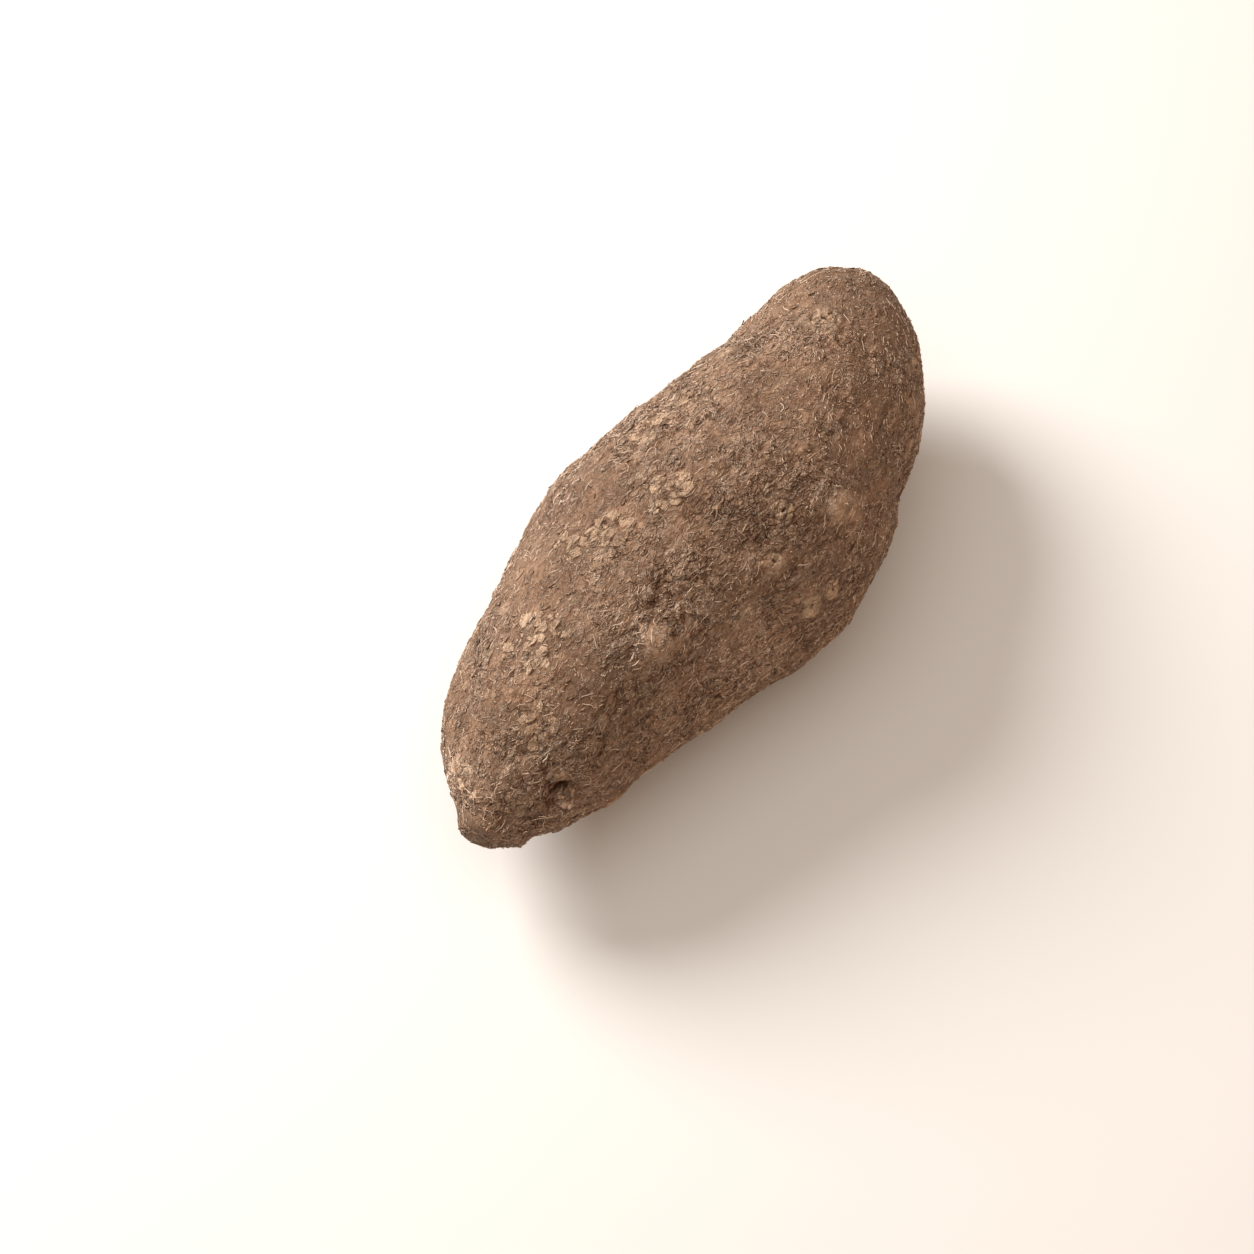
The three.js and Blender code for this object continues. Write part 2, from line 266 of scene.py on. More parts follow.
# 0 on smooth bark to 1 on rough: two sizes of hills + the zones
def roughness(points):
    size, seed = bark["roughZone"]
    hills = 0.7 * hillNoise(points, size, seed) + 0.5 * hillNoise(points, size / 2.3, seed + 1)
    return smoothStep(*bark["roughRange"], hills + spots(points, bark["zones"]))


# paler places, and darker ones where the last value is below 0, partly the bark's own stains and partly
# painted light and shade: along, turn, reach, amount
paintedShadeAndStains = [
    (-4, 112, 13, -0.32), (20, 108, 11, -0.15), (-58, 128, 11, -0.25), (-75, 143, 9, -0.15),
    (66, 122, 9, -0.1), (-24, 152, 11, 0.35), (-42, 117, 7, 0.35), (26, 134, 8, 0.3), (-98, 50, 10, 0.45),
    (-61, 72, 9, 0.22), (-31, 44, 10, 0.2), (12, 76, 8, 0.12), (74, 96, 10, -0.1), (10, 250, 30, -0.1),
    (-60, 290, 25, 0.15), (-32, 58, 12, -0.1), (-14, 58, 10, -0.1),
]


# how far a place is from the middles of a list of marks, in their own radii, the nearest first
def markDistance(points, marks, wobble):
    nearest = np.full(points.shape[:-1], 9.0)
    rise = np.zeros(points.shape[:-1])
    uneven = wobble * hillNoise(points, 3, 21)
    for along, turn, across, height, *_ in marks:
        centre, _ = grownSkin(shareAt(along), np.array(radians(turn)))
        away = length(points - centre) / (across / 2) + uneven
        rise = np.where(away < nearest, height, rise)
        nearest = np.minimum(nearest, away)
    return nearest, rise


# lumps + ridges 1 - 3 |noise| + grain + two sizes of flakes, higher where the bark is rough, - the gaps
# between flakes + scabs + knobs - the grooves round them
def barkRelief(points):
    rough = roughness(points)
    drawn = points * np.array([bark["stretch"], 1, 1])
    relief = bark["lumps"][1] * hillNoise(points, bark["lumps"][0], 1)
    relief += bark["smallLumps"][1] * hillNoise(points, bark["smallLumps"][0], 2)
    fine = bark["ridges"][1] * (1 - 3 * np.abs(hillNoise(drawn, bark["ridges"][0], 3)))
    fine += bark["grain"][1] * hillNoise(points, bark["grain"][0], 6)
    wanderSize, wanderReach = bark["wander"]
    wander = np.stack([hillNoise(points, wanderSize, seed) for seed in (7, 8, 9)], -1)
    bent = drawn + wanderReach * wander
    large, largeEdge = flakeNoise(bent, bark["flakes"][0], 10)
    small, _ = flakeNoise(bent, bark["smallFlakes"][0], 11)
    raised = bark["bareFlakes"] + (1 - bark["bareFlakes"]) * rough
    fine += raised * (bark["flakes"][1] * large + bark["smallFlakes"][1] * small)
    gapWidth, gapDepth = bark["gaps"]
    fine -= gapDepth * (1 - smoothStep(0.0, gapWidth, largeEdge)) * rough
    scabAway, scabRise = markDistance(points, scabs, bark["scabUneven"])
    plate = 1 - smoothStep(*bark["scabFade"], scabAway)
    knobAway, knobRise = markDistance(points, knobs, bark["knobUneven"])
    knob = 1 - smoothStep(*bark["knobFade"], knobAway)
    fine *= 1 - bark["knobEven"] * knob
    rough = rough * (1 - bark["knobSmooth"] * knob)
    grooveWidth, grooveDepth = bark["knobGroove"]
    groove = grooveDepth * np.exp(-(((knobAway - 1.0) / grooveWidth) ** 2))
    relief = relief + fine - bark["lowered"] + scabRise * plate + knobRise * knob - groove
    pale = np.maximum(bark["scabPale"] * plate, bark["knobPale"] * knob)
    return relief, fine, {"plate": pale, "rough": rough}


# makes a mesh of quads and triangles, with the stains and painted light and shade where it has other
# attributes too; a closed shape whose faces point inwards is turned
def toMesh(name, points, quads, triangles, attributes, smooth=True):
    a, b, c, d = (points[quads[:, k]] for k in range(4))
    e, f, g = (points[triangles[:, k]] for k in range(3))
    volume = ((a * np.cross(b, c)).sum() + (a * np.cross(c, d)).sum() + (e * np.cross(f, g)).sum()) / 6
    if volume < 0:
        quads, triangles = quads[:, ::-1], triangles[:, ::-1]
    corners = np.concatenate([quads.reshape(-1), triangles.reshape(-1)]).astype(np.int32)
    sizes = np.concatenate([np.full(len(quads), 4), np.full(len(triangles), 3)])
    starts = (np.cumsum(sizes) - sizes).astype(np.int32)
    mesh = bpy.data.meshes.new(name)
    mesh.vertices.add(len(points))
    mesh.vertices.foreach_set("co", (points * mm).astype(np.float32).reshape(-1))
    mesh.loops.add(len(corners))
    mesh.loops.foreach_set("vertex_index", corners)
    mesh.polygons.add(len(sizes))
    mesh.polygons.foreach_set("loop_start", starts)
    mesh.update(calc_edges=True)
    if attributes:
        attributes = attributes | {"paintedShadeAndStain": spots(points, paintedShadeAndStains)}
    for label, values in attributes.items():
        layer = mesh.attributes.new(label, "FLOAT", "POINT")
        layer.data.foreach_set("value", np.ascontiguousarray(values, np.float32).reshape(-1))
    mesh.polygons.foreach_set("use_smooth", np.full(len(sizes), smooth))
    piece = bpy.data.objects.new(name, mesh)
    bpy.context.scene.collection.objects.link(piece)
    print(name, "made:", 2 * len(quads) + len(triangles), "triangles")
    return piece


# a piece of the tuber: its material, and the body it rides on
def finish(piece, material):
    piece.data.materials.append(material)
    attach(piece, "root")


# angles spread evenly round a circle
def circle(count):
    return np.arange(count) * 2 * pi / count


# distances from a middle, in rings out to reach, and the angles round it
def discGrid(reach, rings, around):
    away = reach * (np.arange(1, rings + 1) / rings)[:, None] + np.zeros((1, around))
    return away, circle(around)[None, :] + np.zeros((rings, 1))


# what makes a round uneven: sum of height sin(count angle + start)
def unevenRound(angle, *waves):
    return sum(height * np.sin(count * angle + start) for count, height, start in waves)


# quads of a grid of rows that close on themselves
def ringQuads(rows, columns):
    r, c = np.meshgrid(np.arange(rows - 1), np.arange(columns), indexing="ij")
    a = r * columns + c
    b = r * columns + (c + 1) % columns
    return np.stack([a, b, b + columns, a + columns], -1).reshape(-1, 4)


# triangles from one point to a ring whose first vertex is start
def fan(point, start, columns, inwards=False):
    c = np.arange(columns)
    ring = [start + c, start + (c + 1) % columns]
    if inwards:
        ring.reverse()
    return np.stack([np.full(columns, point), *ring], -1)


# one shape's faces repeated for many shapes of the same count of vertices
def repeated(faces, shapes, vertices):
    return (faces[None] + (np.arange(shapes) * vertices)[:, None, None]).reshape(-1, faces.shape[1])


skinGrid = {"rings": 329, "around": 300}
# how far the skin ducks under an eye or the root's patch, and over which distances, an eye's in its radii
ducked = {"eye": 2.4, "eyeFade": (0.45, 0.8), "root": 4.5, "rootFade": (3.2, 5.0)}
# round an eye the skin rises and turns pale, and between the plates of a scab it is painted dark as shade
skinMarks = {"eyeFade": (0.75, 1.3), "eyePale": 0.4, "paleFade": (0.6, 1.1),
             "gapPaintedShade": 0.35, "gapUneven": 0.4, "gapFade": (0.7, 1.1)}


# the tuber's skin: grown skin + outward * bark relief, on a grid of share and turn with a pole at each end
def buildSkin():
    rings, around = skinGrid["rings"], skinGrid["around"]
    share = (np.arange(1, rings + 1) / (rings + 1))[:, None] + np.zeros((1, around))
    turn = circle(around)[None, :] + np.zeros((rings, 1))
    points, outward = grownSkin(share, turn)
    relief, fine, marks = barkRelief(points)
    eyeAway, eyeRise = markDistance(points, eyes, 0.15)
    relief += eyeRise * (1 - smoothStep(*skinMarks["eyeFade"], eyeAway))
    relief -= (eyeRise + ducked["eye"]) * (1 - smoothStep(*ducked["eyeFade"], eyeAway))
    relief -= ducked["root"] * (1 - smoothStep(*ducked["rootFade"], rootHoleDistance(points)))
    points = points + outward * relief[..., None]
    points[..., 2] = np.maximum(points[..., 2], 0)

    def withPoles(values):
        return np.concatenate([values.reshape(rings * around, -1), values[:1].mean(1), values[-1:].mean(1)])

    count = rings * around
    fans = np.concatenate([fan(count, 0, around, True), fan(count + 1, count - around, around)])
    eyePale = skinMarks["eyePale"] * (1 - smoothStep(*skinMarks["paleFade"], eyeAway))
    marks["plate"] = marks["plate"] + eyePale
    # the relief, which the material turns into painted shade in the low places and painted highlights on the
    # high ones, and painted shade between a scab's plates
    marks |= {"hollow": fine, "paintedShade": skinMarks["gapPaintedShade"] * scabGaps(points)}
    marks = {label: withPoles(values[..., None]) for label, values in marks.items()}
    return toMesh("yam_skin", withPoles(points), ringQuads(rings, around), fans, marks)


# 1 on a scab and 0 away from it: what shows between its plates
def scabGaps(points):
    away, _ = markDistance(points, scabs, skinMarks["gapUneven"])
    return 1 - smoothStep(*skinMarks["gapFade"], away)


def rootHoleDistance(points):
    centre, _ = grownSkin(shareAt(rootHole["along"]), np.array(radians(rootHole["turn"])))
    return length(points - centre)


patchGrid = {"rings": 24, "around": 44, "reach": 1.25, "footDepth": 3}   # reach is in an eye's radii


# a round patch on the skin: rings out to reach round (along, turn), each point raised by
# height(away, angle, points)
def roundPatch(along, turn, reach, rings, around, height):
    away, angle = discGrid(reach, rings, around)
    share, turned = stepOnSkin(shareAt(along), radians(turn), away * np.cos(angle), away * np.sin(angle))
    points, outward = grownSkin(share, turned)
    rise, marks = height(away, angle, points)
    relief, fine, barkMarks = barkRelief(points)
    marks["hollow"] = marks["hollow"] + fine
    marks["rough"] = barkMarks["rough"]
    surface = points + outward * (relief + rise)[..., None]
    top = surface[0].mean(0)
    foot = surface[-1].mean(0) - outward[-1].mean(0) * patchGrid["footDepth"]
    allPoints = np.concatenate([surface.reshape(-1, 3), [top, foot]])
    allMarks = {k: np.concatenate([v.reshape(-1), [v[0].mean(), v[-1].mean()]]) for k, v in marks.items()}
    return allPoints, allMarks


def joinPatches(name, patches, rings, around):
    count = rings * around
    fans = np.concatenate([fan(count, 0, around), fan(count + 1, count - around, around, True)])
    quads = repeated(ringQuads(rings, around)[:, ::-1], len(patches), count + 2)
    triangles = repeated(fans, len(patches), count + 2)
    points = np.concatenate([p for p, _ in patches])
    points[:, 2] = np.maximum(points[:, 2], 0.05)
    marks = {key: np.concatenate([m[key] for _, m in patches]) for key in patches[0][1]}
    return toMesh(name, points, quads, triangles, marks)


eyeShape = {
    "pitRadius": 0.75, "pitDepth": 1.0, "sunk": 0.7,
    "groove": {"at": 0.66, "wander": 0.7, "broad": 0.06, "depth": 0.15},  # at is a share of the radius
    "rays": {"count": 5, "wander": 4, "depth": 0.18},
    "crumbs": (1.2, 0.16), "smallCrumbs": (0.7, 0.14),                       # size, height
    "pale": 1.7, "paleEdge": (0.55, 1.1), "pitPaintedShade": 0.8, "crackPaintedShade": 0.5,
}


# collar that falls off at its edge - the pit - a groove and radial cracks + fine noise - a drop at the edge
def eyeHeight(radius, rise, pitSize, seed):
    def height(away, angle, points):
        e = eyeShape
        uneven = unevenRound(angle, (2, 0.12, seed), (3, 0.08, 2 * seed), (7, 0.04, seed))
        t = away / radius * (1 + uneven)
        collar = rise * (1 - smoothStep(0.5, 1.0, t))
        pitRadius = e["pitRadius"] * (0.5 + 0.5 * pitSize)
        slot = away * (1 - uneven + 0.35 * np.cos(2 * angle + 2 * seed) + 0.5 * hillNoise(points, 1.1, 37))
        pit = 1 - smoothStep(0.3 * pitRadius, 1.25 * pitRadius, slot)
        g = e["groove"]
        offGroove = (t - g["at"] + g["wander"] * hillNoise(points, 2.2, 38)) / g["broad"]
        groove = np.exp(-(offGroove**2)) * smoothStep(0.6, 1.1, pitSize)
        wave = np.sin(e["rays"]["count"] * angle + e["rays"]["wander"] * hillNoise(points, 3, 31) + seed)
        ray = smoothStep(0.75, 1, wave) * smoothStep(0.3, 0.4, t) * (1 - smoothStep(0.7, 0.9, t)) * pitSize
        raised = collar - e["pitDepth"] * pitSize * pit - g["depth"] * groove - e["rays"]["depth"] * ray
        for (size, crumb), crumbSeed in ((e["crumbs"], 32), (e["smallCrumbs"], 33)):
            raised = raised + crumb * hillNoise(points, size, crumbSeed)
        raised = raised - e["sunk"] * smoothStep(0.9, 1.2, t)
        paleShare = 1 - smoothStep(*e["paleEdge"], t + 0.5 * hillNoise(points, 2, 39))
        # the groove, the rays and the pit are darkened as painted shade; the pale patch is the eye's own
        # colour
        marks = {
            "hollow": -e["crackPaintedShade"] * (groove + ray),
            "plate": e["pale"] * paleShare * (1 - pit),
            "paintedShade": e["pitPaintedShade"] * pit * np.minimum(pitSize + 0.2, 1),
        }
        return raised, marks
    return height


def buildEyes():
    grid = patchGrid
    patches = []
    for number, (along, turn, across, rise, pitSize) in enumerate(eyes):
        height = eyeHeight(across / 2, rise, pitSize, 1.7 * number)
        reach = across / 2 * grid["reach"]
        patches.append(roundPatch(along, turn, reach, grid["rings"], grid["around"], height))
    return joinPatches("yam_eyes", patches, grid["rings"], grid["around"])


# a bowl with a broken root standing in it, to one side, a lip round it, and crumbs
def rootHeight(away, angle, points):
    h = rootHole
    bowlRadius, stubRadius = h["bowlAcross"] / 2, h["stubAcross"] / 2
    uneven = unevenRound(angle, (2, 0.12, 0.6), (3, 0.08, 2)) + 0.5 * hillNoise(points, 2.4, 36)
    bowl = 1 - smoothStep(0.5, 1.05, away / bowlRadius * (1 + uneven))
    asideX, asideY = h["stubAside"]
    fromX, fromY = away * np.cos(angle) - asideX, away * np.sin(angle) - asideY
    fromStub = np.hypot(fromX, fromY) / stubRadius * (1 + 0.12 * np.sin(3 * np.arctan2(fromY, fromX)))
    stub = 1 - smoothStep(0.7, 1.15, fromStub)
    lip = h["lipRise"] * np.exp(-(((away - bowlRadius * 1.08) / h["lipBroad"]) ** 2))
    stubHeight = h["bowlDepth"] + h["stubRise"] - h["stubSlope"] * fromStub
    raised = -h["bowlDepth"] * bowl + stubHeight * stub + lip
    for (size, crumb), seed in ((h["crumbs"], 34), (h["smallCrumbs"], 35)):
        raised = raised + crumb * hillNoise(points, size, seed)
    raised = raised - h["tucked"] * smoothStep(h["tuckedFrom"], h["reach"], away)
    # the bowl round the stub is darkened as painted shade
    marks = {"hollow": 0.3 * stub - 0.2, "plate": 0.15 * stub, "paintedShade": 0.85 * bowl * (1 - stub)}
    return raised, marks


def buildRoot():
    h = rootHole
    patch = roundPatch(h["along"], h["turn"], h["reach"], h["rings"], h["around"], rootHeight)
    return joinPatches("yam_root_stub", [patch], h["rings"], h["around"])


fibreKinds = {
    # length and thick are ranges; bend and spread in degrees; loose is the share with an end standing up;
    # pale is the share of pale ones; bare is how many grow on smooth bark
    "yam_strands": {"count": 2400, "points": 8, "length": (2.5, 6.5), "thick": (0.16, 0.32), "bend": 40,
                    "spread": 26, "lift": 0.14, "loose": 0.08, "looseLift": 0.9, "pale": 0.5, "bare": 0.4,
                    "seed": 11},
    "yam_curls": {"count": 5500, "points": 6, "length": (1.0, 2.6), "thick": (0.17, 0.32), "bend": 40,
                  "spread": 50, "lift": 0.16, "loose": 0.12, "looseLift": 0.5, "pale": 0.4, "bare": 0.25,
                  "seed": 12},
    "yam_fuzz": {"count": 14000, "points": 4, "length": (0.5, 1.7), "thick": (0.17, 0.32), "bend": 25,
                 "spread": 50, "lift": 0.12, "loose": 0.25, "looseLift": 0.35, "pale": 0.5, "bare": 0.3,
                 "seed": 13},
    "yam_edges": {"count": 5000, "points": 6, "length": (1.2, 4.0), "thick": (0.3, 0.6), "bend": 50,
                  "spread": 45, "lift": 0.05, "loose": 0, "looseLift": 0, "pale": 0.6, "bare": 0.15,
                  "seed": 14},
}
# how all of them lie: the way they flow (size, radians), how they wave and kink, and where they are few
fibreLie = {
    "flow": (26, 1.3), "smallFlow": (9, 1.1), "wiggle": 0.25, "kinks": 0.18, "uneven": (0.75, 1.25),
    "clumpSize": 6, "betweenClumps": 0.2, "offEyes": 1.1, "offRoot": 5.4, "onKnobs": 0.35, "onScabs": 0.2,
    "tries": 12,
}
# corners of a fibre's section, sideways and up, in its radii: round ones, and the raised edges of flakes
roundSection = [(0, 1), (-0.87, -0.5), (0.87, -0.5)]
edgeSection = [(0.4, 0.62), (-2.0, -0.4), (0.8, -0.8)]
edgeMarks = {"pale": 0.6, "paintedCrestHighlight": 0.5}
pieceRough = 0.7                                 # how rough the bark looks on edges, chips and flakes


# random places spread evenly over the skin: fewer where it is smooth, between clumps and on knobs and scabs,
# and none in an eye or the root hole
def scatter(count, rng, bare):
    lie = fibreLie
    share = rng.uniform(0.02, 0.98, count * lie["tries"])
    turn = rng.uniform(0, 2 * pi, count * lie["tries"])
    lengthwise, around = slopes(share, turn)
    area = length(lengthwise) * length(around)
    points, _ = grownSkin(share, turn)
    clump = smoothStep(-0.2, 0.25, hillNoise(points, lie["clumpSize"], 43))
    clumps = lie["betweenClumps"] + (1 - lie["betweenClumps"]) * clump
    weight = area / area.max() * (bare + (1 - bare) * roughness(points) * clumps)
    eyeAway, _ = markDistance(points, eyes, 0)
    knobAway, _ = markDistance(points, knobs, 0.15)
    weight = weight * (eyeAway > lie["offEyes"]) * (rootHoleDistance(points) > lie["offRoot"])
    weight = weight * (lie["onKnobs"] + (1 - lie["onKnobs"]) * (knobAway > 0.85))
    weight = weight * (1 - (1 - lie["onScabs"]) * scabGaps(points))
    kept = np.flatnonzero(rng.random(len(share)) < weight)[:count]
    return share[kept], turn[kept], points[kept]


# tubes of three sides along bent paths on the skin, pointed at both ends: angle = flow + spread
# + bend (s - 1/2) + wiggle sin + kinks, and radius = half the thickness sqrt(1 - (2s - 1)4)
def buildFibres(name):
    kind, lie = fibreKinds[name], fibreLie
    isEdge = name == "yam_edges"
    rng = np.random.default_rng(kind["seed"])
    share, turn, middles = scatter(kind["count"], rng, kind["bare"])
    count, steps = len(share), kind["points"]
    s = np.linspace(0, 1, steps)[None, :]
    long = rng.uniform(*kind["length"], count)[:, None]
    thick = rng.uniform(*kind["thick"], count)[:, None]
    (flowSize, flowTurn), (smallSize, smallTurn) = lie["flow"], lie["smallFlow"]
    flow = flowTurn * hillNoise(middles, flowSize, 41) + smallTurn * hillNoise(middles, smallSize, 42)
    heading = flow + np.radians(rng.normal(0, kind["spread"], count)) + pi * rng.integers(0, 2, count)
    bend = np.radians(rng.normal(0, kind["bend"], count))[:, None]
    waves = s * rng.uniform(0.6, 1.8, (count, 1)) + rng.random((count, 1))
    kinks = np.cumsum(rng.normal(0, lie["kinks"], (count, steps)), 1)
    angle = heading[:, None] + bend * (s - 0.5) + lie["wiggle"] * np.sin(2 * pi * waves) + kinks
    forward = np.cumsum(np.cos(angle), 1) * long / steps
    sideways = np.cumsum(np.sin(angle), 1) * long / steps
    forward -= forward.mean(1, keepdims=True)
    sideways -= sideways.mean(1, keepdims=True)
    shareS, turnS = stepOnSkin(share[:, None], turn[:, None], forward, sideways)
    points, outward = grownSkin(np.clip(shareS, 0.005, 0.995), turnS)
    relief, _, _ = barkRelief(points)
    loose = (rng.random((count, 1)) < kind["loose"]) * rng.uniform(0.4, 1, (count, 1)) * kind["looseLift"]
    rise = relief + 0.2 * thick + kind["lift"] * rng.random((count, 1)) * np.sin(pi * s) + loose * s**2
    points = points + outward * rise[..., None]
    points[..., 2] = np.maximum(points[..., 2], 0.2)
    ahead = unit(np.gradient(points, axis=1))
    side = unit(np.cross(ahead, outward))
    above = np.cross(side, ahead)
    radius = thick / 2 * np.sqrt(np.clip(1 - (2 * s - 1) ** 4, 0, 1))
    radius = radius * rng.uniform(*lie["uneven"], (count, steps))
    section = np.array(edgeSection if isEdge else roundSection)
    ring = side[:, :, None] * section[:, :1] + above[:, :, None] * section[:, 1:]
    tube = points[:, :, None] + ring * radius[:, :, None, None]
    shapes = np.concatenate([tube[:, 1:-1].reshape(count, -1, 3), points[:, [0, -1]]], 1)
    rings, vertices = steps - 2, (steps - 2) * 3 + 2
    fans = np.concatenate([fan(vertices - 2, 0, 3, True), fan(vertices - 1, vertices - 5, 3)])
    isPale = rng.random((count, 1)) < kind["pale"]
    tone = np.where(isPale, rng.uniform(0.6, 1, (count, 1)), rng.uniform(0, 0.4, (count, 1)))
    tone = tone + np.zeros((1, vertices))
    marks = {"tone": tone}
    if isEdge:
        # an edge's crest is painted paler as a highlight; its tan follows its tone
        paintedCrestHighlight = np.array([1, 0, 0] * rings + [0.5, 0.5]) + 0 * tone
        marks = {"plate": edgeMarks["pale"] * tone, "hollow": edgeMarks["paintedCrestHighlight"] * paintedCrestHighlight, "paintedShade": 0 * tone,
                 "rough": pieceRough + 0 * tone}
    return toMesh(name, shapes.reshape(-1, 3), repeated(ringQuads(rings, 3), count, vertices),
                  repeated(fans, count, vertices), marks)


flakeKinds = {
    # tilt is how steeply they stand off the skin; near is the share that lies on the scabs
    "yam_chips": {"count": 4000, "corners": 6, "size": (0.6, 2.6), "thick": (0.06, 0.14), "tilt": 0.28,
                  "near": 0, "plate": (0, 0.4), "seed": 17},
    "yam_flakes": {"count": 420, "corners": 8, "size": (0.6, 2.4), "thick": (0.1, 0.2), "tilt": 0.4,
                   "near": 0.7, "plate": (0.4, 1), "seed": 18},
}
flakeLie = {"bare": 0.15, "smallShare": 1.7, "uneven": (0.5, 1.2), "drawnOut": (1, 2.4), "rooted": 0.15}
scabReach = (1.3, 0.62)                          # a scab's cover: how drawn out it is, its radius as a share


# faces of a flat piece: a ring of corners and a middle above, and the same below
def prismFaces(corners):
    c = np.arange(corners)
    following = (c + 1) % corners
    walls = np.stack([c, following, corners + 1 + following, corners + 1 + c], -1)[:, ::-1]
    fans = np.concatenate([fan(corners, 0, corners), fan(2 * corners + 1, corners + 1, corners, True)])
    return walls, fans


# one mesh of flat pieces from their upper and lower points, corners first and the middle last
def toFlatPieces(name, above, below, plate, rough):
    shapes = np.concatenate([above, below], 1)
    shapes[..., 2] = np.maximum(shapes[..., 2], 0.15)
    count, vertices = shapes.shape[:2]
    walls, fans = prismFaces(vertices // 2 - 1)
    plate = plate + np.zeros((1, vertices))
    marks = {"plate": plate, "hollow": 0.1 + 0 * plate, "paintedShade": 0 * plate, "rough": rough + 0 * plate}
    return toMesh(name, shapes.reshape(-1, 3), repeated(walls, count, vertices),
                  repeated(fans, count, vertices), marks, smooth=False)


# thin chips of bark: an uneven ring of corners and a middle, above and below, tilted a little
def buildFlakes(name):
    kind, lie = flakeKinds[name], flakeLie
    rng = np.random.default_rng(kind["seed"])
    share, turn, _ = scatter(kind["count"], rng, lie["bare"])
    count, corners = len(share), kind["corners"]
    onScab = rng.random(count) < kind["near"]
    marks = np.array(scabs)[rng.integers(len(scabs), size=count)]
    reach = marks[:, 2] * scabReach[1] * np.sqrt(rng.random(count))
    toward = rng.uniform(0, 2 * pi, count)
    onward, aside = scabReach[0] * reach * np.cos(toward), reach * np.sin(toward)
    scabShare, scabTurn = stepOnSkin(shareAt(marks[:, 0]), np.radians(marks[:, 1]), onward, aside)
    share, turn = np.where(onScab, scabShare, share), np.where(onScab, scabTurn, turn)
    smallest, largest = kind["size"]
    size = rng.random((count, 1)) ** lie["smallShare"] * (largest - smallest) + smallest
    angle = circle(corners) + rng.uniform(0, 4 / corners, (count, corners))
    away = size / 2 * rng.uniform(*lie["uneven"], (count, corners))
    lean, leanTo = rng.uniform(0, kind["tilt"], (count, 1)), rng.uniform(0, 2 * pi, (count, 1))
    thick = rng.uniform(*kind["thick"], (count, 1))
    drawnOut = rng.uniform(*lie["drawnOut"], (count, 1))           # along the tuber
    forward = np.concatenate([away * np.cos(angle) * drawnOut, np.zeros((count, 1))], 1)
    sideways = np.concatenate([away * np.sin(angle), np.zeros((count, 1))], 1)
    shareS, turnS = stepOnSkin(share[:, None], turn[:, None], forward, sideways)
    points, outward = grownSkin(shareS, turnS)
    relief, _, _ = barkRelief(points)
    tilt = lean * (forward * np.cos(leanTo) + sideways * np.sin(leanTo) + size * 0.25)
    above = points + outward * (relief + tilt + thick * 0.7)[..., None]
    below = points + outward * (relief + tilt - thick - lie["rooted"])[..., None]
    plate = rng.uniform(*kind["plate"], (count, 1))
    return toFlatPieces(name, above, below, plate, pieceRough)


plates = {
    "spacing": 3.4, "uneven": 0.42,             # how far apart their middles are, and how far they wander
    "gap": 0.06, "corners": 7, "widest": 4.6, "narrowest": 0.25, "drawnOut": 1.2,
    "lift": (0.0, 0.25), "tilt": 0.12, "thick": 0.7,
    "missing": 0.25, "tan": (1.1, 1.6), "rough": 0.3, "seed": 19,
}


# the plates that each scab has cracked into. Middles lie on an uneven lattice, and in each direction a plate
# reaches to the nearest halfway line: half the distance to a neighbour / cos(direction - neighbour's)
def buildPlates():
    p = plates
    rng = np.random.default_rng(p["seed"])
    corners = p["corners"]
    steps = np.arange(-3, 4)
    column, row = (g.reshape(-1) for g in np.meshgrid(steps, steps))
    middles = np.stack([column + 0.5 * (row % 2), row * sin(pi / 3)], -1) * p["spacing"]
    marks = np.array(scabs)
    middles = middles + rng.normal(0, p["uneven"] * p["spacing"], (len(marks), *middles.shape))
    toNext = middles[:, None] - middles[:, :, None]
    half = length(toNext) / 2 + 99 * np.eye(len(column))
    toward = np.arctan2(toNext[..., 1], toNext[..., 0])
    angle = circle(corners) + rng.uniform(0, 0.7, (*middles.shape[:2], corners))
    facing = np.cos(angle[..., None] - toward[:, :, None])
    away = np.where(facing > 0.1, half[:, :, None] / np.maximum(facing, 0.1), 99).min(-1)
    away = np.minimum(away, p["widest"] * rng.uniform(0.7, 1, away.shape)) - p["gap"] / 2
    inside = length(middles) < marks[:, 2:3] * scabReach[1] * rng.uniform(0.7, 1.15, middles.shape[:2])
    kept = inside & (rng.random(inside.shape) > p["missing"]) & (away.min(-1) > p["narrowest"])
    scab = np.nonzero(kept)[0]
    middles, angle, away = middles[kept], angle[kept], away[kept]
    count = len(angle)
    out = np.concatenate([away, np.zeros((count, 1))], 1)
    angle = np.concatenate([angle, np.zeros((count, 1))], 1)
    forward = p["drawnOut"] * middles[:, :1] + out * np.cos(angle)
    sideways = middles[:, 1:] + out * np.sin(angle)
    share, turn = shareAt(marks[scab, 0])[:, None], np.radians(marks[scab, 1])[:, None]
    points, outward = grownSkin(*stepOnSkin(share, turn, forward, sideways))
    relief, _, _ = barkRelief(points)
    lean = rng.uniform(0, p["tilt"], (count, 1))
    tilt = lean * out * np.cos(angle - rng.uniform(0, 2 * pi, (count, 1)))
    top = 0.5 * relief + 0.5 * relief.mean(1, keepdims=True) + tilt + rng.uniform(*p["lift"], (count, 1))
    above = points + outward * top[..., None]
    below = points + outward * (top - p["thick"])[..., None]
    return toFlatPieces("yam_plates", above, below, rng.uniform(*p["tan"], (count, 1)), p["rough"])


view = {
    "elevation": 65, "heading": 55.5,          # degrees above the floor, and from +Y towards +X
    "lens": 85, "sensor": 36, "picture": 1254,
    "scale": 0.291,                            # millimetres in a pixel at the tuber's middle
    "middle": (-1, 3.86, 40), "shownAt": (686.2, 552.1),
}


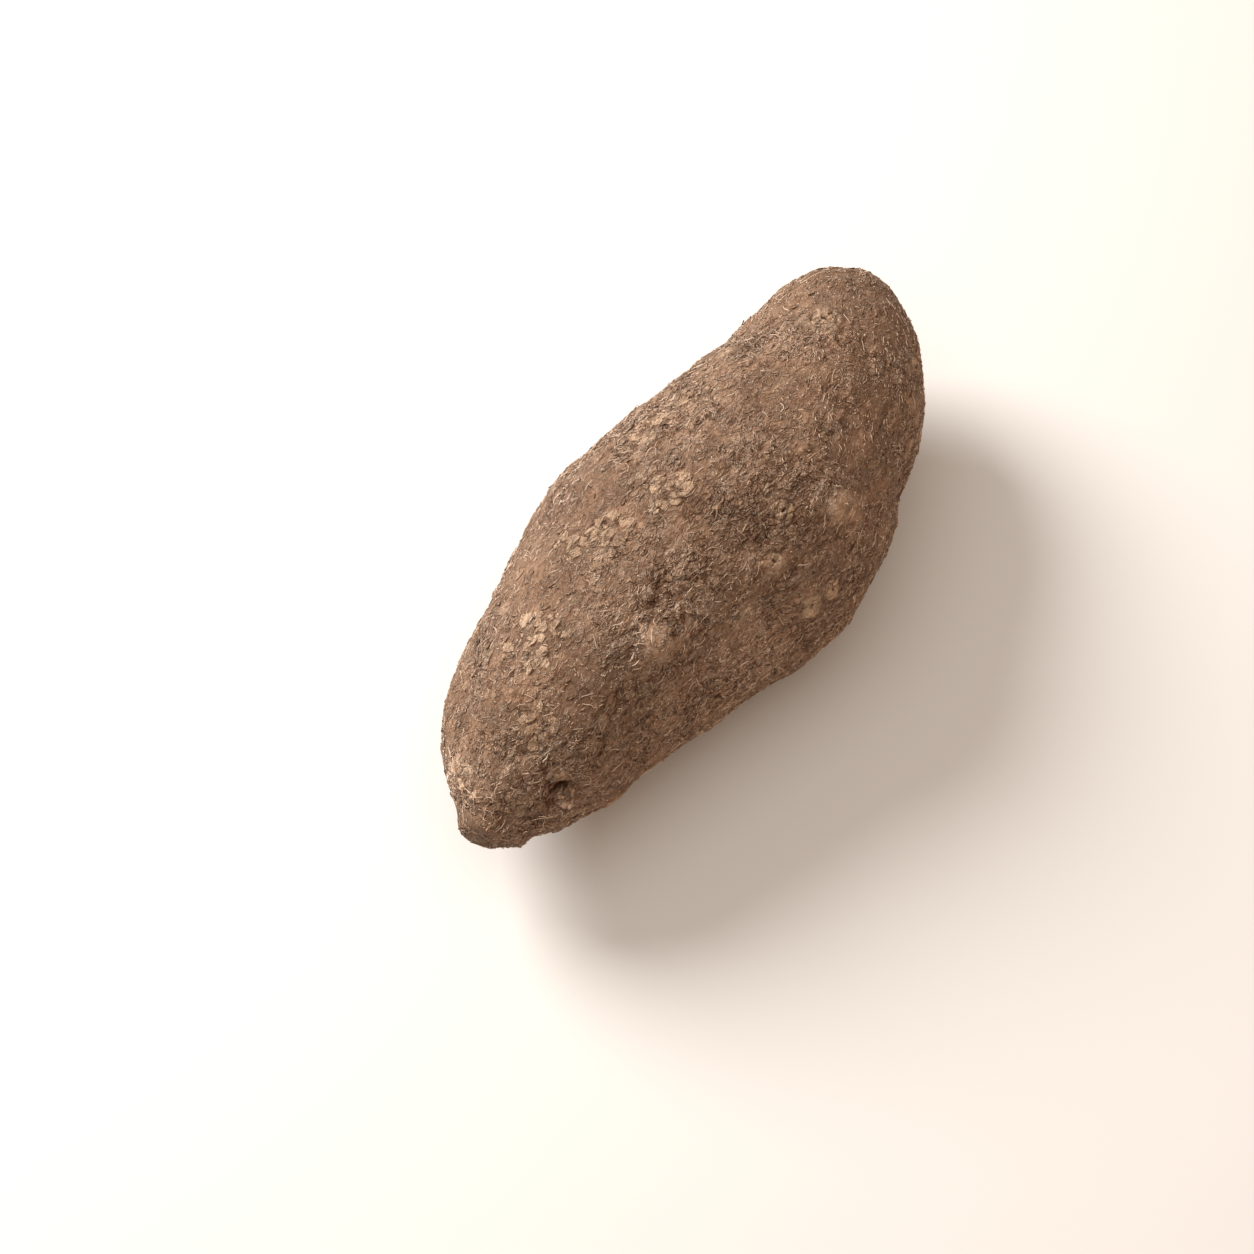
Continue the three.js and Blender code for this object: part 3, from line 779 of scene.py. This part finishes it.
def buildCamera():
    elevation, heading = radians(view["elevation"]), radians(view["heading"])
    right = Vector((cos(heading), -sin(heading), 0))
    ahead = Vector((sin(heading) * cos(elevation), cos(heading) * cos(elevation), -sin(elevation)))
    up = right.cross(ahead)
    half = view["picture"] / 2
    aside = (view["shownAt"][0] - half) * view["scale"]
    below = (view["shownAt"][1] - half) * view["scale"]
    distance = view["scale"] * view["picture"] * view["lens"] / view["sensor"]
    place = Vector(view["middle"]) - right * aside + up * below - ahead * distance
    data = bpy.data.cameras.new("camera")
    data.lens = view["lens"]
    data.sensor_width = view["sensor"]
    camera = bpy.data.objects.new("camera", data)
    turned = Matrix((right, up, -ahead)).transposed().to_4x4()
    camera.matrix_world = Matrix.Translation(place * mm) @ turned
    bpy.context.scene.collection.objects.link(camera)
    bpy.context.scene.camera = camera


lights = {
    # name: direction from the tuber, distance and size in metres, watts, colour
    "key": ((0.03, 0.79, 0.62), 1.1, 0.6, 20.5, (1, 1, 1)),
    "top": ((-0.15, 0, 1), 1.5, 1.6, 9, (1, 1, 1)),
    "side": ((0.1, -0.9, 0.4), 1.3, 1.0, 3, (1, 0.5, 0.16)),     # warm, into the shade
}
sky = {"colour": (1, 0.86, 0.72, 1), "strength": 0.44}


def buildLights():
    for name, (direction, distance, size, watts, colour) in lights.items():
        data = bpy.data.lights.new(name, "AREA")
        data.shape = "DISK"
        data.size = size
        data.energy = watts
        data.color = colour
        lamp = bpy.data.objects.new(name, data)
        away = Vector(direction).normalized()
        lamp.location = away * distance
        lamp.rotation_euler = away.to_track_quat("Z", "Y").to_euler()
        bpy.context.scene.collection.objects.link(lamp)
    world = bpy.data.worlds.new("world")
    world.use_nodes = True
    background = world.node_tree.nodes["Background"]
    background.inputs["Color"].default_value = sky["colour"]
    background.inputs["Strength"].default_value = sky["strength"]
    bpy.context.scene.world = world
    bpy.context.scene.view_settings.view_transform = "Standard"


sweep = {
    "rings": 40, "around": 96, "reach": 4300, "flatTo": 2000, "rise": 1300,
    "colour": (0.66, 0.63, 0.6, 1), "roughness": 0.8,
}


# a pale studio sweep, flat in the middle: height = rise smoothStep(flatTo, reach, distance from the middle)
def buildFloor():
    rings, around = sweep["rings"], sweep["around"]
    away, angle = discGrid(sweep["reach"], rings, around)
    height = sweep["rise"] * smoothStep(sweep["flatTo"], sweep["reach"], away)
    points = np.stack([away * np.cos(angle), away * np.sin(angle), height], -1).reshape(-1, 3)
    points = np.concatenate([points, [(0, 0, 0)]])
    fans = fan(rings * around, 0, around, True)
    floor = toMesh("floor", points, ringQuads(rings, around), fans, {})
    floor.data.flip_normals()
    paint = bpy.data.materials.new("pale floor")
    paint.use_nodes = True
    shader = paint.node_tree.nodes["Principled BSDF"]
    shader.inputs["Base Color"].default_value = sweep["colour"]
    shader.inputs["Roughness"].default_value = sweep["roughness"]
    floor.data.materials.append(paint)


# a number, colour or vector on its way through a material. + - * / on numbers add Math nodes
class Wire:
    def __init__(self, tree, socket=None):
        self.tree = tree
        self.socket = socket

    # any node: its settings first, then values or wires for its sockets, then the output that is wanted
    def add(self, kind, settings=None, sockets=None, output=0):
        node = self.tree.nodes.new(kind)
        for name, value in (settings or {}).items():
            setattr(node, name, value)
        for name, value in (sockets or {}).items():
            if isinstance(value, Wire):
                self.tree.links.new(value.socket, node.inputs[name])
            else:
                node.inputs[name].default_value = value
        return Wire(self.tree, node.outputs[output])

    def maths(self, operation, *values):
        return self.add("ShaderNodeMath", {"operation": operation}, dict(enumerate(values)))

    def __add__(self, other): return self.maths("ADD", self, other)
    def __radd__(self, other): return self.maths("ADD", other, self)
    def __sub__(self, other): return self.maths("SUBTRACT", self, other)
    def __rsub__(self, other): return self.maths("SUBTRACT", other, self)
    def __mul__(self, other): return self.maths("MULTIPLY", self, other)
    def __rmul__(self, other): return self.maths("MULTIPLY", other, self)
    def __truediv__(self, other): return self.maths("DIVIDE", self, other)

    # 0 below low, 1 above high, smooth between; low may be the larger
    def between(self, low, high):
        sockets = {"Value": self, "From Min": low, "From Max": high}
        return self.add("ShaderNodeMapRange", {"interpolation_type": "SMOOTHSTEP"}, sockets)

    def vectorMaths(self, operation, first, second, output=0):
        return self.add("ShaderNodeVectorMath", {"operation": operation}, {0: first, 1: second}, output)

    # a colour or vector made larger or smaller
    def scaled(self, amount):
        return self.add("ShaderNodeVectorMath", {"operation": "SCALE"}, {0: self, "Scale": amount})

    # stains and painted light and shade: paler above 0; darker and redder below it
    def withPaintedShadeAndStains(self, amount):
        sockets = {0: (1, 1.12, 1.25), "Scale": amount}
        reds = self.add("ShaderNodeVectorMath", {"operation": "SCALE"}, sockets)
        return self.vectorMaths("MULTIPLY", self, self.vectorMaths("ADD", reds, (1, 1, 1)))

    # thin bent lines drawn out along the tuber and broken up: where a stretched noise is close to its middle
    def streaks(self, size, start=0):
        moved = self.vectorMaths("ADD", self, (start * mm, start * mm, start * mm))
        bent = moved.shifted(moved.noise(size * 5, 2, 0.5, "Color"), size * 2.5 * mm)
        drawn = self.vectorMaths("MULTIPLY", bent, (0.4, 1, 1))
        line = self.maths("ABSOLUTE", drawn.noise(size, 2, 0.6) - 0.5).between(0.045, 0)
        return line * drawn.noise(size * 2.5, 2, 0.5).between(0.42, 0.54)

    def mix(self, first, second):
        return self.add("ShaderNodeMix", {"data_type": "RGBA"}, {0: self, 6: first, 7: second}, 2)

    def shifted(self, amount, scale):
        return self.vectorMaths("ADD", self, amount.scaled(scale))

    def noise(self, size, detail=3, rough=0.55, output="Fac"):
        sockets = {"Vector": self, "Scale": 1 / (size * mm), "Detail": detail, "Roughness": rough}
        return self.add("ShaderNodeTexNoise", {}, sockets, output)

    # small flakes: the nearest cell's own slope . (place - its middle), in millimetres, and its own shade
    def flakes(self, size):
        sockets = {"Vector": self, "Scale": 1 / (size * mm)}
        own = self.add("ShaderNodeTexVoronoi", {"feature": "F1"}, sockets, "Color")
        middle = Wire(self.tree, own.socket.node.outputs["Position"])
        away = self.vectorMaths("SUBTRACT", self, middle)
        slope = self.vectorMaths("SUBTRACT", own, (0.5, 0.5, 0.5))
        height = self.vectorMaths("DOT_PRODUCT", away, slope, "Value") / mm
        return height, self.add("ShaderNodeSeparateColor", {}, {0: own})

    def attribute(self, name):
        return self.add("ShaderNodeAttribute", {"attribute_name": name}, {}, "Fac")


# shine is the specular level: dry bark has next to none
def newMaterial(name, shine):
    material = bpy.data.materials.new(name)
    material.use_nodes = True
    tree = material.node_tree
    shader = tree.nodes["Principled BSDF"]
    shader.inputs["Specular IOR Level"].default_value = shine
    wire = Wire(tree)
    spot = wire.add("ShaderNodeTexCoord", output="Object")
    return material, shader, wire, spot


def plug(wire, shader, name):
    wire.tree.links.new(wire.socket, shader.inputs[name])


barkLook = {
    "warm": (0.215, 0.120, 0.071, 1),
    "grey": (0.205, 0.115, 0.069, 1),
    "red": (0.160, 0.084, 0.045, 1),
    "tan": (0.430, 0.280, 0.178, 1),
    # the colours of painted shade and of painted highlights
    "paintedShade": (0.056, 0.014, 0.003, 1),
    "pale": (0.600, 0.440, 0.325, 1),
    "shine": 0.1,
}


# the bark's colour at a place: warm and greyer zones, redder mottles, then lighter and darker grains
def barkColour(spot):
    look = barkLook
    mottle = spot.noise(7, 4, 0.6)
    grain = spot.noise(1.0, 4, 0.65)
    colour = spot.noise(30, 3, 0.55).between(0.4, 0.62).mix(look["warm"], look["grey"])
    colour = (mottle.between(0.5, 0.68) * 0.5).mix(colour, look["red"])
    colour = (spot.noise(3.2, 3, 0.6).between(0.54, 0.74) * 0.4).mix(colour, look["tan"])
    shade = 0.86 + 0.28 * spot.noise(13, 2, 0.5).between(0.36, 0.64)
    return colour.scaled(shade * (0.92 + 0.16 * grain.between(0.34, 0.66))), mottle


# what the bark's material raises, in millimetres, and how much painted shade and painted highlight it mixes
# in
skinLook = {
    # how the small flakes' space is bent: size, detail and reach of two noises
    "bends": [(15, 1, 9), (1.6, 2, 1.2)],
    "drawnOut": 0.5,                                      # less than 1 draws them out along the tuber
    "flakes": (1.9, 1.8), "smallFlakes": (0.8, 0.6),      # size, height
    "crumple": (1.5, 0.13), "grain": (0.5, 0.05),
    "rough": (0.4, 0.68),                                 # on smooth bark, and what rough bark adds
    "bare": 0.25,                                         # between patches of flakes
    "crumplePaintedShade": 0.42, "crumplePaintedHighlight": 0.22, "hollowDark": 0.45, "highReliefPaintedHighlight": 0.25,
    # raised streaks painted pale as highlights, and cracks painted dark as shade: size, start, height,
    # colour, share
    "lines": [
        (1.8, 0, 0.34, "pale", 0.75), (0.9, 0, 0.2, "pale", 0.45),
        (2.4, 40, -0.45, "paintedShade", 0.75), (1.1, 70, -0.3, "paintedShade", 0.5),
    ],
}


def skinMaterial():
    look, bumps = barkLook, skinLook
    material, shader, wire, spot = newMaterial("yam bark", look["shine"])
    colour, mottle = barkColour(spot)
    hollow = wire.attribute("hollow")
    patchy = 0.55 + 0.45 * spot.noise(2.4, 3, 0.6).between(0.36, 0.56)
    colour = (wire.attribute("plate") * patchy).mix(colour, look["tan"])

    # small flakes and crumples in a space that is bent and drawn out, grains, streaks and cracks
    bent = spot
    for size, detail, reach in bumps["bends"]:
        bent = bent.shifted(spot.noise(size, detail, 0.5, "Color"), reach * mm)
    drawn = wire.vectorMaths("MULTIPLY", bent, (bumps["drawnOut"], 1, 1))
    flake, flakeShade = drawn.flakes(bumps["flakes"][0])
    smallFlake, smallShade = drawn.flakes(bumps["smallFlakes"][0])
    rough = bumps["rough"][0] + bumps["rough"][1] * wire.attribute("rough")
    patch = bumps["bare"] + (1 - bumps["bare"]) * spot.noise(5, 2, 0.5).between(0.42, 0.58)
    crumple = 1 - wire.maths("ABSOLUTE", drawn.noise(bumps["crumple"][0], 2, 0.5) - 0.5) * 6
    relief = (flake * bumps["flakes"][1] + smallFlake * bumps["smallFlakes"][1]) * rough * patch
    relief = relief + crumple * bumps["crumple"][1] * rough
    relief = relief + (spot.noise(bumps["grain"][0], 3, 0.6) - 0.5) * bumps["grain"][1]
    lines = []
    for size, start, height, shade, share in bumps["lines"]:
        line = spot.streaks(size, start)
        raised = line * height
        relief = relief + (raised * rough if shade == "paintedShade" else raised)
        lines.append((line * rough * share, look[shade]))
    bump = wire.add("ShaderNodeBump", {}, {"Height": relief, "Strength": 1, "Distance": 1 * mm})
    plug(bump, shader, "Normal")

    # painted shade keeps the low places dark and red, and painted highlights make the high ones pale; the
    # scab gaps, eye pits and root bowl get painted shade too
    colour = colour.scaled(0.88 + 0.16 * flakeShade + 0.06 * smallShade)
    layers = [
        (crumple.between(0.2, -0.9) * rough * bumps["crumplePaintedShade"], look["paintedShade"]),
        (crumple.between(0.6, 1) * rough * bumps["crumplePaintedHighlight"], look["pale"]),
        *lines,
        (hollow.between(-0.1, -0.5) * bumps["hollowDark"], look["paintedShade"]),
        (hollow.between(0.15, 0.5) * bumps["highReliefPaintedHighlight"], look["pale"]),
        (wire.attribute("paintedShade"), look["paintedShade"]),
    ]
    for share, shade in layers:
        colour = share.mix(colour, shade)
    plug(colour.withPaintedShadeAndStains(wire.attribute("paintedShadeAndStain")), shader, "Base Color")
    plug(0.5 + 0.2 * mottle, shader, "Roughness")
    return material


# share is how far a fibre goes from the bark's colour to the pale one at tone 1; low and high are its
# brightness at tones 0 and 1
fibreLook = {
    "pale": (0.76, 0.565, 0.42, 1), "share": 0.88, "low": 0.9, "high": 1.15,
    "roughness": 0.45, "shine": 0.3, "grain": (0.5, 0.1),
}


# the bark's colour, made paler and lighter by each fibre's own tone
def fibreMaterial():
    look = fibreLook
    material, shader, wire, spot = newMaterial("yam fibre", look["shine"])
    tone = wire.attribute("tone")
    colour, _ = barkColour(spot)
    colour = colour.scaled(look["low"] + (look["high"] - look["low"]) * tone)
    colour = (tone * look["share"]).mix(colour, look["pale"]).withPaintedShadeAndStains(wire.attribute("paintedShadeAndStain"))
    plug(colour, shader, "Base Color")
    shader.inputs["Roughness"].default_value = look["roughness"]
    size, rise = look["grain"]
    sockets = {"Height": spot.noise(size, 2, 0.6), "Strength": 1, "Distance": rise * mm}
    plug(wire.add("ShaderNodeBump", {}, sockets), shader, "Normal")
    return material


buildCamera()
buildLights()
buildFloor()
print("camera, light and floor made")

barkMaterial = skinMaterial()
skin = buildSkin()
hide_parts("tuber")
finish(skin, barkMaterial)
finish(buildEyes(), barkMaterial)
finish(buildRoot(), barkMaterial)
strandMaterial = fibreMaterial()
for fibreName in fibreKinds:
    finish(buildFibres(fibreName), barkMaterial if fibreName == "yam_edges" else strandMaterial)
for flakeName in flakeKinds:
    finish(buildFlakes(flakeName), barkMaterial)
finish(buildPlates(), barkMaterial)
